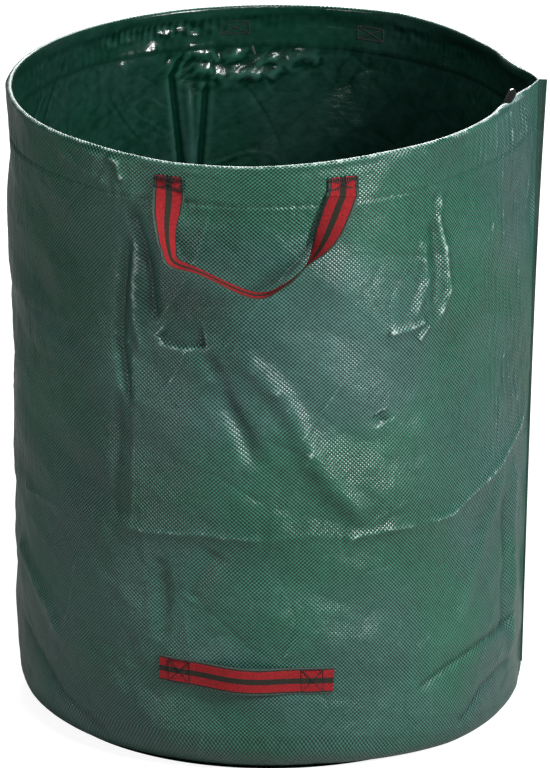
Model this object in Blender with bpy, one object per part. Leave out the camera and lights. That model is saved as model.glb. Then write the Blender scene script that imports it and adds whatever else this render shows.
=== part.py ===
"""A round garden waste bag of laminated woven plastic sheet, standing open.

One sheet is rolled into the wall and closed by a side seam whose edges turn outwards. A round panel is lapped
and sewn to its foot, and its top is folded inwards into a hem that holds a springy hoop. Two webbing handles
are sewn to the hem and hang outwards, and a third lies flat near the foot for tipping the bag out.
The seam is at +X, the front handle at -Y, and the origin is on the floor, at the middle of the base.
"""

import math

import bmesh
import bpy
from mathutils import Vector

# Outline of the bag
BAG_HEIGHT = 0.80
BASE_RADIUS = 0.3165
BASE_CORNER = 0.037
RIM_RADIUS = 0.333
RIM_OVAL = 0.019
RIM_SHIFT = -0.0095
SEAM_POINT = 0.027
SEAM_POINT_SPREAD = math.radians(28.5)

# Sheet, and the gap kept between pieces that touch
SHEET = 0.001
CLEARANCE = 0.0003

# Hem, hoop and the caps on its two ends
HEM_DEPTH = 0.057
FOLD_DROP = 0.003
FOLD_TAPER = 0.018
HOOP_DIAMETER = 0.006
CAP_DIAMETER = 0.009
CAP_LENGTH = 0.032
CAP_END = 0.003
CAP_TIP_SHARE = 0.5
CAP_FROM_SEAM = 0.0715
HOOP_END_RISE = 0.003
HOOP_END_SPAN = 0.081

# Side seam and base seam
SEAM_ALLOWANCE = 0.011
SEAM_FOOT_ALLOWANCE = 0.004
BASE_LAP = 0.012

# Webbing handles
WEBBING_WIDTH = 0.030
WEBBING = 0.0015
TAB_TOP = 0.019
TAB_LENGTH = 0.024
FRONT_SPACING = 0.206
BACK_SPACING = 0.174
BACK_TURN = math.radians(-4)
HANDLE_DROP = 0.105
HANDLE_REACH = 0.046
LEG_SQUARE_SHARE = 0.35

# Tipping handle near the foot
LOWER_HEIGHT = 0.115
LOWER_LENGTH = 0.216
LOWER_TURN = math.radians(-2.1)
LOWER_SLACK = 0.010
LOWER_TAIL = 0.012
LOWER_BOX = 0.029

# Sewing thread
THREAD_WIDTH = 0.0012
THREAD = 0.0005
HEM_STITCH_MARGIN = 0.003
TAB_BOX_WIDTH = 0.026
TAB_BOX_MARGIN = 0.002

# Facets
RING_STEPS = 96
CORNER_STEPS = 5
FOLD_STEPS = 4
TUBE_SIDES = 8
STRAP_STEPS = 4
TAB_STEPS = 4
LOWER_STEPS = 24
SHARP_EDGE = math.radians(35)
NEAREST_STATION = 0.125

# Sizes worked out from those above
RING_STEP = math.tau / RING_STEPS
FOLD_RADIUS = (CAP_DIAMETER / 2 + CLEARANCE) / math.cos(math.pi / 2 / FOLD_STEPS) + SHEET
HEM_PLIES = 2 * SHEET + CLEARANCE
LIP_HEIGHT = SHEET + CLEARANCE
HEM_FOOT = BAG_HEIGHT - HEM_DEPTH
HOOP_HEIGHT = BAG_HEIGHT - FOLD_RADIUS
TAB_FOOT = TAB_TOP + TAB_LENGTH
FRONT = -math.pi / 2
BACK = math.pi / 2

# The hanging loop of a top handle: along the span, then drop and reach as shares, then the twist in degrees
HANDLE_SHAPE = (
    (-1.00, 0.00, 0.00, 0),
    (-1.02, 0.21, 0.07, 5),
    (-1.00, 0.44, 0.22, 30),
    (-0.92, 0.67, 0.46, 65),
    (-0.58, 0.79, 0.77, 90),
    (-0.05, 1.00, 1.00, 90),
    (0.39, 0.83, 0.86, 90),
    (0.68, 0.54, 0.54, 70),
    (0.87, 0.25, 0.21, 30),
    (1.00, 0.00, 0.00, 0),
)


def clear_scene():
    for item in list(bpy.data.objects):
        bpy.data.objects.remove(item, do_unlink=True)


def material(name, colour, roughness, metallic=0.0):
    made = bpy.data.materials.new(name)
    made.use_nodes = True
    shader = made.node_tree.nodes["Principled BSDF"]
    shader.inputs["Base Color"].default_value = (*colour, 1.0)
    shader.inputs["Roughness"].default_value = roughness
    shader.inputs["Metallic"].default_value = metallic
    return made


def mix(first, second, share):
    return first + (second - first) * share


def rim_radius(angle):
    """The rim is deeper than it is wide, and runs out to a point at the seam, where the hoop stops."""
    from_seam = abs(math.remainder(angle, math.tau))
    point = max(0.0, 1 - from_seam / SEAM_POINT_SPREAD)
    return RIM_RADIUS - RIM_OVAL * math.cos(2 * angle) + SEAM_POINT * point**2


def wall_radius(angle, height):
    return mix(BASE_RADIUS, rim_radius(angle), height / BAG_HEIGHT)


def wall_point(angle, height, inset=0.0, level=None):
    """A point inset from the wall's outer face. Its level differs from height where the sheet curls."""
    radius = wall_radius(angle, height) - inset
    across = RIM_SHIFT * height / BAG_HEIGHT
    return Vector(
        (across + radius * math.cos(angle), radius * math.sin(angle), height if level is None else level)
    )


def placed(name, mesh, look, origin=Vector((0, 0, 0))):
    """Makes the object with its origin at the point given, such as a hinge's axis."""
    for vertex in mesh.verts:
        vertex.co -= origin
    bmesh.ops.recalc_face_normals(mesh, faces=mesh.faces)
    if mesh.calc_volume(signed=True) < 0:
        bmesh.ops.reverse_faces(mesh, faces=mesh.faces)
    data = bpy.data.meshes.new(name)
    mesh.to_mesh(data)
    mesh.free()
    data.materials.append(look)
    data.shade_smooth()
    data.set_sharp_from_angle(angle=SHARP_EDGE)
    made = bpy.data.objects.new(name, data)
    made.location = origin
    bpy.context.scene.collection.objects.link(made)
    return made


def sheet_solid(name, outer, inner, cells, look, origin=Vector((0, 0, 0))):
    """A sheet with thickness: each cell has a face on both sides, and an edge of one cell alone is closed.

    A cell of four corners can be a little warped, so it is split along the same diagonal on both sides.
    """
    mesh = bmesh.new()
    fronts = [mesh.verts.new(point) for point in outer]
    backs = [mesh.verts.new(point) for point in inner]
    uses = {}
    for cell in cells:
        halves = [cell[:3], (*cell[2:], cell[0])] if len(cell) == 4 else [cell]
        for half in halves:
            mesh.faces.new([fronts[corner] for corner in half])
            mesh.faces.new([backs[corner] for corner in reversed(half)])
        for first, second in zip(cell, (*cell[1:], cell[0])):
            uses.setdefault(frozenset((first, second)), []).append((first, second))
    for sides in uses.values():
        if len(sides) == 1:
            first, second = sides[0]
            mesh.faces.new((fronts[second], fronts[first], backs[first], backs[second]))
    loose = [vertex for vertex in mesh.verts if not vertex.link_faces]
    bmesh.ops.delete(mesh, geom=loose, context="VERTS")
    return placed(name, mesh, look, origin)


def grid_cells(rows, columns, left_out=lambda row, column: False):
    cells = []
    for row in range(rows - 1):
        for column in range(columns - 1):
            if not left_out(row, column):
                corner = row * columns + column
                cells.append((corner, corner + 1, corner + columns + 1, corner + columns))
    return cells


def swept_solid(name, stations, look):
    """Rings, each with a centre, the way along and a radius, joined in turn and closed at both ends."""
    mesh = bmesh.new()
    rings = []
    for centre, along, radius in stations:
        side = along.cross(Vector((0, 0, 1))).normalized()
        up = side.cross(along).normalized()
        ring = []
        for step in range(TUBE_SIDES):
            turn = math.tau * (step + 0.5) / TUBE_SIDES
            ring.append(mesh.verts.new(centre + radius * (math.cos(turn) * side + math.sin(turn) * up)))
        rings.append(ring)
    for first, second in zip(rings, rings[1:]):
        for step in range(TUBE_SIDES):
            following = (step + 1) % TUBE_SIDES
            mesh.faces.new((first[step], first[following], second[following], second[step]))
    mesh.faces.new(rings[0])
    mesh.faces.new(rings[-1])
    return placed(name, mesh, look)


def sheet_row(outer_inset, outer_level, inner_inset, inner_level, plies, allowance, curled=False):
    """One row of the rolled sheet, from one seam edge round to the other: its outer and inner points.

    Each end has two columns more than the ring: the corner where the sheet turns out, and its edge.
    """
    faces = []
    for inset, level, depth in (
        (outer_inset, outer_level, 0 if curled else outer_inset),
        (inner_inset, inner_level, SHEET if curled else inner_inset),
    ):
        across = CLEARANCE / 2 + plies - depth
        root = wall_point(0, level, inset)
        edge = wall_point(0, level, -allowance)
        ring = [wall_point(step * RING_STEP, level, inset) for step in range(1, RING_STEPS)]
        faces.append(
            [
                Vector((edge.x, across, level)),
                Vector((root.x, across, level)),
                *ring,
                Vector((root.x, -across, level)),
                Vector((edge.x, -across, level)),
            ]
        )
    return faces


def allowance_at(height):
    return mix(SEAM_FOOT_ALLOWANCE, SEAM_ALLOWANCE, height / BAG_HEIGHT)


def side_wall(look):
    """The rolled sheet, up to the hem's stitch line. Its foot curls in and lies on the base panel's edge."""
    corner_top = LIP_HEIGHT + BASE_CORNER
    rows = [
        sheet_row(0, level, SHEET, level, SHEET, allowance_at(level))
        for level in (HEM_FOOT - CLEARANCE, corner_top)
    ]
    for step in range(1, CORNER_STEPS + 1):
        turn = math.pi / 2 * step / CORNER_STEPS
        inner_radius = BASE_CORNER - SHEET
        rows.append(
            sheet_row(
                BASE_CORNER * (1 - math.cos(turn)),
                corner_top - BASE_CORNER * math.sin(turn),
                BASE_CORNER - inner_radius * math.cos(turn),
                corner_top - inner_radius * math.sin(turn),
                SHEET,
                0,
                curled=True,
            )
        )
    lip = BASE_CORNER + BASE_LAP
    rows.append(sheet_row(lip, LIP_HEIGHT, lip, LIP_HEIGHT + SHEET, SHEET, 0, curled=True))
    columns = len(rows[0][0])
    cells = grid_cells(
        len(rows), columns, lambda row, column: row > 0 and column in (0, columns - 2)
    )
    outer = [point for row in rows for point in row[0]]
    inner = [point for row in rows for point in row[1]]
    sheet_solid("side_wall", outer, inner, cells, look)


def fold_at(column):
    """The hem's fold is round where the hoop and its caps run, and flattens towards the seam."""
    flat = SHEET + CLEARANCE / 2
    full_from = int((CAP_FROM_SEAM / RIM_RADIUS) / RING_STEP)
    from_seam = min(column, RING_STEPS - column)
    return mix(flat, FOLD_RADIUS, min(1.0, max(0, from_seam - 1) / max(1, full_from - 1)))


def hem_section(fold):
    """Both faces of the folded sheet, as insets and levels: up outside, over the hoop and down inside."""
    centre = BAG_HEIGHT - fold
    section = [(0, HEM_FOOT, SHEET, HEM_FOOT)]
    for step in range(FOLD_STEPS + 1):
        turn = math.pi * step / FOLD_STEPS
        inner_radius = fold - SHEET
        section.append(
            (
                fold - fold * math.cos(turn),
                centre + fold * math.sin(turn),
                fold - inner_radius * math.cos(turn),
                centre + inner_radius * math.sin(turn),
            )
        )
    section.append((2 * fold, centre - FOLD_DROP, 2 * fold - SHEET, centre - FOLD_DROP))
    for level in (centre - FOLD_DROP - FOLD_TAPER, HEM_FOOT):
        section.append((HEM_PLIES, level, HEM_PLIES - SHEET, level))
    return section


def rim_hem(look):
    """The sheet's folded top, with an opening in the fold where the hoop's front end comes out."""
    sections = [hem_section(fold_at(column)) for column in range(RING_STEPS)]
    flat = hem_section(fold_at(0))
    outer = []
    inner = []
    for row in range(len(flat)):
        for points, (inset_at, level_at) in ((outer, (0, 1)), (inner, (2, 3))):
            inset = flat[row][inset_at]
            level = flat[row][level_at]
            across = CLEARANCE / 2 + HEM_PLIES - inset
            edge = wall_point(0, level, -allowance_at(level))
            root = wall_point(0, level, inset)
            ends = [Vector((edge.x, across, level)), Vector((root.x, across, level))]
            points.extend(ends)
            for column in range(1, RING_STEPS):
                section = sections[column][row]
                points.append(wall_point(column * RING_STEP, section[level_at], section[inset_at]))
            points.extend(Vector((end.x, -end.y, end.z)) for end in reversed(ends))
    columns = RING_STEPS + 3
    opening_from = RING_STEPS - math.ceil(cap_angle(CAP_FROM_SEAM + CAP_LENGTH) / RING_STEP)
    opening_to = RING_STEPS - math.floor(cap_angle(CAP_FROM_SEAM) / RING_STEP)

    def in_opening(row, column):
        # Column 0 is the back edge and column 1 the corner beside it, so ring step 1 is column 2.
        step = column - 1
        return row >= 2 and opening_from <= step < opening_to

    sheet_solid("rim_hem", outer, inner, grid_cells(len(flat), columns, in_opening), look)


def cap_angle(from_seam):
    return from_seam / RIM_RADIUS


def hoop_column(column):
    """The hoop's centre at one column. Its front end springs up and inwards out of the hem's opening."""
    angle = column * RING_STEP
    end = math.tau - cap_angle(CAP_FROM_SEAM)
    back = (end - angle) * RIM_RADIUS / HOOP_END_SPAN
    rise = HOOP_END_RISE * max(0.0, 1 - back) ** 2 if angle > math.pi else 0.0
    centre = wall_point(angle, HOOP_HEIGHT, FOLD_RADIUS + rise)
    return centre + Vector((0, 0, rise))


def hoop_centre(angle):
    column = math.floor(angle / RING_STEP)
    share = angle / RING_STEP - column
    return hoop_column(column).lerp(hoop_column(column + 1), share)


def hoop_stations(start, end, radii):
    """Stations from one angle to another, through every column between them."""
    turn = 1 if end > start else -1
    low, high = sorted((start, end))
    nearest = RING_STEP * NEAREST_STATION
    between = [
        column * RING_STEP
        for column in range(math.ceil(low / RING_STEP), math.floor(high / RING_STEP) + 1)
        if low + nearest < column * RING_STEP < high - nearest
    ]
    angles = [start, *(between if turn > 0 else reversed(between)), end]
    centres = [hoop_centre(angle) for angle in angles]
    stations = []
    for place, centre in enumerate(centres):
        before = centres[max(0, place - 1)]
        after = centres[min(len(centres) - 1, place + 1)]
        along = (after - before).normalized() * turn
        stations.append((centre, along, radii))
    return stations


def rim_hoop(look):
    """A round rod, open at the seam, with each end inside a cap."""
    start = cap_angle(CAP_FROM_SEAM + CAP_END)
    stations = hoop_stations(start, math.tau - start, HOOP_DIAMETER / 2)
    swept_solid("rim_hoop", stations, look)


def hoop_cap(name, front, look):
    """A soft cap pushed over one end of the hoop: a blind bore with a rounded closed end towards the seam."""
    bore = HOOP_DIAMETER / 2 + CLEARANCE
    shell = CAP_DIAMETER / 2
    shoulder = CAP_END / 2

    def at(from_seam):
        angle = cap_angle(from_seam)
        return math.tau - angle if front else angle

    blind = at(CAP_FROM_SEAM + CAP_END - CLEARANCE)
    mouth = at(CAP_FROM_SEAM + CAP_LENGTH)
    inside = hoop_stations(blind, mouth, bore)
    outside = hoop_stations(mouth, at(CAP_FROM_SEAM + shoulder), shell)
    tip = hoop_stations(at(CAP_FROM_SEAM + shoulder), at(CAP_FROM_SEAM), shell * CAP_TIP_SHARE)
    swept_solid(name, [*inside, *outside, tip[-1]], look)


def base_panel(look):
    """The round panel that the wall's curled foot is sewn to."""
    mesh = bmesh.new()
    radius = BASE_RADIUS - BASE_CORNER
    bmesh.ops.create_circle(mesh, cap_ends=True, segments=RING_STEPS, radius=radius)
    raised = bmesh.ops.extrude_face_region(mesh, geom=list(mesh.faces))
    moved = [item for item in raised["geom"] if isinstance(item, bmesh.types.BMVert)]
    bmesh.ops.translate(mesh, verts=moved, vec=(0, 0, SHEET))
    placed("base_panel", mesh, look)


def base_seam_stitches(look):
    """The thread that holds the wall's curled foot to the panel, seen on the inside of the bag."""
    middle = BASE_CORNER + BASE_LAP / 2
    low = LIP_HEIGHT + SHEET + CLEARANCE
    outer = []
    inner = []
    for level in (low, low + THREAD):
        for step in range(1, RING_STEPS):
            angle = step * RING_STEP
            outer.append(wall_point(angle, LIP_HEIGHT, middle - THREAD_WIDTH / 2, level))
            inner.append(wall_point(angle, LIP_HEIGHT, middle + THREAD_WIDTH / 2, level))
    cells = grid_cells(2, RING_STEPS - 1)
    sheet_solid("base_seam_stitches", outer, inner, cells, look)


def hem_stitches(look):
    """The thread along the foot of the hem, on the outside."""
    outer = []
    inner = []
    for level in (HEM_FOOT + HEM_STITCH_MARGIN, HEM_FOOT + HEM_STITCH_MARGIN + THREAD_WIDTH):
        for step in range(1, RING_STEPS):
            angle = step * RING_STEP
            outer.append(wall_point(angle, level, -CLEARANCE - THREAD))
            inner.append(wall_point(angle, level, -CLEARANCE))
    cells = grid_cells(2, RING_STEPS - 1)
    sheet_solid("hem_stitches", outer, inner, cells, look)


def seam_stitches(name, low, high, plies, look):
    """A line of thread down the turned-out seam, on the side that faces the front."""
    outer = []
    inner = []
    for level in (low, high):
        middle = wall_point(0, level, -allowance_at(level) / 2).x
        face = -CLEARANCE / 2 - plies - CLEARANCE
        for across in (middle - THREAD_WIDTH / 2, middle + THREAD_WIDTH / 2):
            outer.append(Vector((across, face - THREAD, level)))
            inner.append(Vector((across, face, level)))
    sheet_solid(name, outer, inner, grid_cells(2, 2), look)


def strap_end(name, angle, look):
    """The sewn end of a top handle, flat on the hem."""
    outer = []
    inner = []
    for drop in (TAB_TOP, TAB_FOOT):
        height = BAG_HEIGHT - drop
        for step in range(TAB_STEPS + 1):
            aside = WEBBING_WIDTH * (step / TAB_STEPS - 0.5)
            turned = angle + aside / rim_radius(angle)
            outer.append(wall_point(turned, height, -CLEARANCE - WEBBING))
            inner.append(wall_point(turned, height, -CLEARANCE))
    sheet_solid(name, outer, inner, grid_cells(2, TAB_STEPS + 1), look)


def box_stitches(name, angle, height, width, tall, look):
    """A sewn box with a cross in it: four bars, four arms and the crossing, as one pattern of thread."""
    half_width = width / 2
    half_height = tall / 2
    thread = THREAD_WIDTH
    slant = math.hypot(half_width, half_height)
    run = thread * slant / half_height
    climb = thread * slant / half_width
    corners = [
        (-half_width, half_height),
        (half_width, half_height),
        (half_width, -half_height),
        (-half_width, -half_height),
    ]
    reach = half_width - thread - run / 2
    rise = half_height - thread - climb / 2
    top = half_height - thread
    side_in = half_width - thread
    holes = [
        [(-reach, top), (reach, top), (0, climb / 2)],
        [(side_in, rise), (side_in, -rise), (run / 2, 0)],
        [(reach, -top), (-reach, -top), (0, -climb / 2)],
        [(-side_in, -rise), (-side_in, rise), (-run / 2, 0)],
    ]
    flat = corners + [point for hole in holes for point in hole]
    first = [4 + 3 * side for side in range(4)]
    cells = []
    for side in range(4):
        following = (side + 1) % 4
        before = (side - 1) % 4
        cells.append((side, following, first[side] + 1, first[side]))
        cells.append((side, first[side], first[side] + 2, first[before] + 2, first[before] + 1))
    cells.append(tuple(first[side] + 2 for side in range(4)))
    radius = wall_radius(angle, height)
    # The bars run straight over a curved strap, so they stand off by the curve's rise.
    depth = -(CLEARANCE + WEBBING + CLEARANCE + half_width**2 / (2 * radius))
    outer = [wall_point(angle + across / radius, height + up, depth - THREAD) for across, up in flat]
    inner = [wall_point(angle + across / radius, height + up, depth) for across, up in flat]
    sheet_solid(name, outer, inner, cells, look)


def smooth_row(rows, steps):
    """Rows of numbers with smooth rows between them, by Catmull and Rom's rule."""
    padded = [rows[0], *rows, rows[-1]]
    smooth = []
    for before, first, second, after in zip(padded, padded[1:], padded[2:], padded[3:]):
        for step in range(steps):
            share = step / steps
            smooth.append(
                [
                    0.5
                    * (
                        2 * b
                        + (c - a) * share
                        + (2 * a - 5 * b + 4 * c - d) * share**2
                        + (3 * b - a - 3 * c + d) * share**3
                    )
                    for a, b, c, d in zip(before, first, second, after)
                ]
            )
    smooth.append(list(rows[-1]))
    return smooth


def handle_hinge(angle, spacing):
    """Where a top handle turns, clear in front of its sewn ends, and the ways along it and outwards."""
    height = BAG_HEIGHT - TAB_FOOT
    half = spacing / 2
    outwards = Vector((math.cos(angle), math.sin(angle), 0))
    along = Vector((-math.sin(angle), math.cos(angle), 0))
    aside = (half - WEBBING_WIDTH / 2) / rim_radius(angle)
    nearest = max(wall_point(angle + turn, height).dot(outwards) for turn in (aside, -aside))
    stack = CLEARANCE + WEBBING + CLEARANCE + WEBBING / 2
    middle = wall_point(angle, height)
    middle += outwards * (nearest + stack - middle.dot(outwards))
    return middle, along, outwards


def top_handle(name, angle, spacing, look):
    """The free loop of a top handle: flat at its ends, and turned level where the hand holds it."""
    middle, along, outwards = handle_hinge(angle, spacing)
    rows = smooth_row(HANDLE_SHAPE, STRAP_STEPS)
    spine = []
    for share, drop, reach, _ in rows:
        down = Vector((0, 0, -drop * HANDLE_DROP))
        spine.append(middle + along * share * spacing / 2 + outwards * reach * HANDLE_REACH + down)
    outer = []
    inner = []
    for place, point in enumerate(spine):
        leg = -1 if place < len(spine) / 2 else 1
        if place in (0, len(spine) - 1):
            way = Vector((0, 0, leg))
        else:
            way = (spine[place + 1] - spine[place - 1]).normalized()
        # A leg starts level, as it is sewn, and comes square to its own way a little lower.
        square = min(1.0, rows[place][1] / LEG_SQUARE_SHARE)
        in_wall = (-along * leg).lerp(outwards.cross(way).normalized(), square).normalized()
        twist = math.radians(rows[place][3])
        width = in_wall * math.cos(twist) - outwards * math.sin(twist)
        width = (width - way * width.dot(way) * square).normalized()
        face = way.cross(width).normalized()
        for side in (WEBBING_WIDTH / 2, -WEBBING_WIDTH / 2):
            outer.append(point + width * side + face * WEBBING / 2)
            inner.append(point + width * side - face * WEBBING / 2)
    sheet_solid(name, outer, inner, grid_cells(len(spine), 2), look, middle)


def lower_handle(look):
    """The tipping handle: one strap, sewn flat at both ends and slack enough between them for fingers."""
    angle = FRONT + LOWER_TURN
    radius = wall_radius(angle, LOWER_HEIGHT)
    half = LOWER_LENGTH / 2
    flat_from = half - LOWER_TAIL - LOWER_BOX
    outer = []
    inner = []
    for height in (LOWER_HEIGHT + WEBBING_WIDTH / 2, LOWER_HEIGHT - WEBBING_WIDTH / 2):
        for step in range(LOWER_STEPS + 1):
            across = mix(-half, half, step / LOWER_STEPS)
            share = min(1.0, abs(across) / flat_from)
            out = LOWER_SLACK * 0.5 * (1 + math.cos(math.pi * share))
            turned = angle + across / radius
            outer.append(wall_point(turned, height, -CLEARANCE - out - WEBBING))
            inner.append(wall_point(turned, height, -CLEARANCE - out))
    sheet_solid("lower_handle", outer, inner, grid_cells(2, LOWER_STEPS + 1), look)


def build():
    clear_scene()
    green_sheet = material("green_sheet", (0.030, 0.115, 0.083), 0.42)
    base_sheet = material("base_sheet", (0.026, 0.100, 0.072), 0.45)
    hoop_plastic = material("hoop_plastic", (0.035, 0.035, 0.038), 0.50)
    cap_plastic = material("cap_plastic", (0.010, 0.010, 0.011), 0.18)
    webbing = material("webbing", (0.420, 0.035, 0.045), 0.80)
    green_thread = material("green_thread", (0.045, 0.150, 0.110), 0.75)
    dark_thread = material("dark_thread", (0.012, 0.016, 0.014), 0.75)

    side_wall(green_sheet)
    rim_hem(green_sheet)
    base_panel(base_sheet)
    rim_hoop(hoop_plastic)
    hoop_cap("hoop_cap_front", True, cap_plastic)
    hoop_cap("hoop_cap_back", False, cap_plastic)
    base_seam_stitches(green_thread)
    hem_stitches(green_thread)
    seam_foot = LIP_HEIGHT + BASE_CORNER + HEM_STITCH_MARGIN
    seam_stitches("side_seam_stitches", seam_foot, HEM_FOOT - HEM_STITCH_MARGIN, SHEET, green_thread)
    rim_foot = HEM_FOOT + HEM_STITCH_MARGIN
    seam_stitches("rim_seam_stitches", rim_foot, BAG_HEIGHT - HEM_STITCH_MARGIN, HEM_PLIES, green_thread)

    box_height = TAB_LENGTH - 2 * TAB_BOX_MARGIN
    for place, angle, spacing in (("front", FRONT, FRONT_SPACING), ("back", BACK + BACK_TURN, BACK_SPACING)):
        top_handle(f"{place}_handle", angle, spacing, webbing)
        for side, turn in (("left", -1), ("right", 1)):
            tab_angle = angle + turn * spacing / 2 / rim_radius(angle)
            strap_end(f"{place}_handle_{side}_end", tab_angle, webbing)
            box_stitches(
                f"{place}_{side}_box_stitches",
                tab_angle,
                BAG_HEIGHT - TAB_TOP - TAB_LENGTH / 2,
                TAB_BOX_WIDTH,
                box_height,
                dark_thread,
            )
    lower_handle(webbing)
    lower_angle = FRONT + LOWER_TURN
    box_middle = LOWER_LENGTH / 2 - LOWER_TAIL - LOWER_BOX / 2
    for side, turn in (("left", -1), ("right", 1)):
        box_stitches(
            f"lower_{side}_box_stitches",
            lower_angle + turn * box_middle / wall_radius(lower_angle, LOWER_HEIGHT),
            LOWER_HEIGHT,
            LOWER_BOX,
            WEBBING_WIDTH - 2 * TAB_BOX_MARGIN,
            dark_thread,
        )


build()
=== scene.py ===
import math

import bmesh
import bpy
import numpy as np
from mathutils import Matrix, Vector


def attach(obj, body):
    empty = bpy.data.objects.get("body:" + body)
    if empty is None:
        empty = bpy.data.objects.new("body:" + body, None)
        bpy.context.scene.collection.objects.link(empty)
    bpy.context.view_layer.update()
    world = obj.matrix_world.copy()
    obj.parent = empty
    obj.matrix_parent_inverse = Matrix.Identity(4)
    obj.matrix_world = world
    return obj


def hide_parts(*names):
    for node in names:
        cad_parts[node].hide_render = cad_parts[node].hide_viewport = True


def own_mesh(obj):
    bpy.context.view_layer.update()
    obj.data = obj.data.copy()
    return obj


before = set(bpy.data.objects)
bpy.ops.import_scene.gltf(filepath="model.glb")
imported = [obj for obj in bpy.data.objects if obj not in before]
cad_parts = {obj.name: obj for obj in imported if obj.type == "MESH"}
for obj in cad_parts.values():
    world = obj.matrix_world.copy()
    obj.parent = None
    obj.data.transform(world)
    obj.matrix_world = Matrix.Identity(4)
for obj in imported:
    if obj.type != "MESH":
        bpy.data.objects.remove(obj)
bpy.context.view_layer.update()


# The studio: a pale floor that reads as white, soft light from all sides and above, and the camera where the
# photograph was taken from, 8 m in front of the bag and 3.1 m up.
class Tone:
    """One socket of a shader, on which plain arithmetic adds Math nodes."""

    def __init__(self, shop, socket):
        self.shop = shop
        self.socket = socket

    def __add__(self, other):
        return self.shop.worked("ADD", self, other)

    def __radd__(self, other):
        return self.shop.worked("ADD", other, self)

    def __sub__(self, other):
        return self.shop.worked("SUBTRACT", self, other)

    def __rsub__(self, other):
        return self.shop.worked("SUBTRACT", other, self)

    def __mul__(self, other):
        return self.shop.worked("MULTIPLY", self, other)

    def __truediv__(self, other):
        return self.shop.worked("DIVIDE", self, other)

    def __gt__(self, other):
        return self.shop.worked("GREATER_THAN", self, other)


class Shop:
    """Where the nodes of one material or world are made and joined."""

    def __init__(self, tree):
        self.tree = tree

    def feed(self, socket, value):
        if isinstance(value, Tone):
            self.tree.links.new(value.socket, socket)
        else:
            socket.default_value = value

    def node(self, kind, settings=None, values=None, output=0):
        made = self.tree.nodes.new(kind)
        for name, value in (settings or {}).items():
            if name == "stops":
                while len(made.color_ramp.elements) < len(value):
                    made.color_ramp.elements.new(0.5)
                for stop, (place, colour) in zip(made.color_ramp.elements, value):
                    stop.position = place
                    stop.color = (*colour, 1.0)
            else:
                setattr(made, name, value)
        for name, value in (values or {}).items():
            self.feed(made.inputs[name], value)
        return Tone(self, made.outputs[output])

    def worked(self, operation, *values):
        return self.node("ShaderNodeMath", {"operation": operation}, dict(enumerate(values)))

    def noise(self, place, scale, detail, **more):
        sockets = {"Vector": place, "Scale": scale, "Detail": detail, **more}
        return self.node("ShaderNodeTexNoise", {}, sockets)

    def relief(self, height):
        return self.node("ShaderNodeBump", {}, {"Height": height, "Distance": 1.0, "Strength": 1.0})

    def tint(self, share, first, second):
        settings = {"data_type": "RGBA", "clamp_factor": True}
        return self.node("ShaderNodeMix", settings, {0: share, 6: first, 7: second}, 2)


def finish_named(name, **sockets):
    """A material's shader with its plain values set, and the shop in which the rest is made."""
    made = bpy.data.materials.new(name)
    made.use_nodes = True
    shader = made.node_tree.nodes["Principled BSDF"]
    for socket, value in sockets.items():
        shader.inputs[socket.replace("_", " ")].default_value = value
    return made, shader, Shop(made.node_tree)


scene = bpy.context.scene
scene.view_settings.view_transform = "Standard"
view_data = bpy.data.cameras.new("studio_camera")
view_data.lens = 317.3
view_data.sensor_width = 36
view = bpy.data.objects.new("studio_camera", view_data)
view.location = (0.4113, -7.9889, 3.1462)
view.rotation_euler = (math.radians(71.082), 0, math.radians(2.9))
scene.collection.objects.link(view)
scene.camera = view

AMBIENT = 0.09
sky = bpy.data.worlds.new("studio_surround")
sky.use_nodes = True
scene.world = sky
sky_shop = Shop(sky.node_tree)
seen = sky_shop.node("ShaderNodeLightPath", output="Is Camera Ray")
backdrop = sky.node_tree.nodes["Background"]
sky_shop.feed(backdrop.inputs["Color"], (1.0, 1.0, 1.0, 1.0))
sky_shop.feed(backdrop.inputs["Strength"], seen * (1 - AMBIENT) + AMBIENT)

for name, place, wide, tall, watts in (
    ("soft_box_right", (2.3, -2.1, 2.1), 0.7, 1.2, 180),
    ("soft_box_left", (-2.3, -2.6, 1.2), 0.8, 1.5, 26),
    ("soft_box_above", (0.2, -1.4, 3.0), 0.8, 0.6, 30),
    ("soft_box_back", (0.0, 3.2, 1.9), 1.2, 1.2, 90),
):
    lamp = bpy.data.lights.new(name, "AREA")
    lamp.shape = "RECTANGLE"
    lamp.size = wide
    lamp.size_y = tall
    lamp.energy = watts
    box = bpy.data.objects.new(name, lamp)
    box.location = place
    box.rotation_euler = (Vector((0, 0, 0.45)) - Vector(place)).to_track_quat("-Z", "Y").to_euler()
    scene.collection.objects.link(box)

floor_mesh = bpy.data.meshes.new("studio_floor")
FLOOR_REACH = 20
floor_corners = [(x * FLOOR_REACH, y * FLOOR_REACH, 0) for x, y in ((-1, -1), (1, -1), (1, 1), (-1, 1))]
floor_mesh.from_pydata(floor_corners, [], [(0, 1, 2, 3)])
floor = bpy.data.objects.new("studio_floor", floor_mesh)
floor.location.z = -0.0004
scene.collection.objects.link(floor)
pale, pale_shader, pale_shop = finish_named("pale_floor", Base_Color=(0.35, 0.35, 0.35, 1.0), Roughness=0.9)
floor_seen = pale_shop.node("ShaderNodeLightPath", output="Is Camera Ray")
glow = pale_shop.node("ShaderNodeEmission", {}, {"Color": (1.0, 1.0, 1.0, 1.0), "Strength": 0.90})
lit = pale_shop.node("ShaderNodeAddShader", {}, {0: glow, 1: Tone(pale_shop, pale_shader.outputs[0])})
shown = pale_shop.node(
    "ShaderNodeMixShader", {}, {0: floor_seen, 1: Tone(pale_shop, pale_shader.outputs[0]), 2: lit}
)
pale_shop.feed(pale.node_tree.nodes["Material Output"].inputs["Surface"], shown)
floor_mesh.materials.append(pale)


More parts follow.
